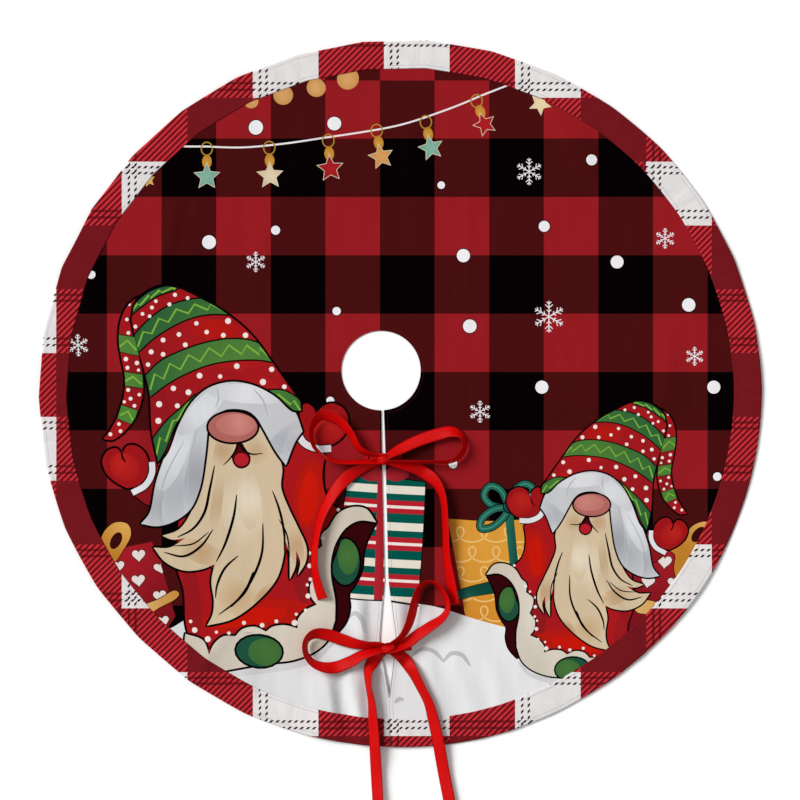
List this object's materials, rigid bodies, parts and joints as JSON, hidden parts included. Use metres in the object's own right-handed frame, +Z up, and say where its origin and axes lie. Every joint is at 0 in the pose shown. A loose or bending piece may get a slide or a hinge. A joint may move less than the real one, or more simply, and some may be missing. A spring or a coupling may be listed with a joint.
{
  "type": "tree skirt",
  "caption": "Round lined cloth skirt for a Christmas tree, with a trunk hole, a slit to the hem tied with satin bows, and a plaid border band.",
  "frame": {"origin": "middle of the skirt's outline, on the floor that it lies on", "axes": "+Z up out of the printed face; -Y from the trunk hole along the slit to the hem; +X to the right when the print is upright"},
  "size_m": [0.9136, 0.9832, 0.0216],
  "materials": {
    "printed_cloth": "printed polyester plain weave, matt",
    "plaid_cloth": "printed polyester plain weave, matt",
    "lining_cloth": "undyed polyester plain weave, matt",
    "sewing_thread": "spun polyester thread",
    "satin_ribbon": "single-face satin, soft gloss"
  },
  "bodies": {
    "root": {"printed_face": "printed_cloth", "lining": "lining_cloth", "neck_facing": "printed_cloth", "slit_facing_left": "printed_cloth", "slit_facing_right": "printed_cloth", "plaid_border_band": "plaid_cloth", "band_seam_stitching": "sewing_thread", "hem_stitching": "sewing_thread", "neck_stitching": "sewing_thread", "slit_stitching_left": "sewing_thread", "slit_stitching_right": "sewing_thread", "upper_tack_left": "sewing_thread", "upper_tack_right": "sewing_thread", "lower_tack_left": "sewing_thread", "lower_tack_right": "sewing_thread", "upper_knot": "satin_ribbon", "upper_lead_left": "satin_ribbon", "upper_lead_right": "satin_ribbon", "upper_loop_left": "satin_ribbon", "upper_loop_right": "satin_ribbon", "upper_tail_left": "satin_ribbon", "upper_tail_right": "satin_ribbon", "lower_knot": "satin_ribbon", "lower_lead_left": "satin_ribbon", "lower_lead_right": "satin_ribbon", "lower_loop_left": "satin_ribbon", "lower_loop_right": "satin_ribbon", "lower_tail_left": "satin_ribbon", "lower_tail_right": "satin_ribbon"}
  },
  "joints": []
}
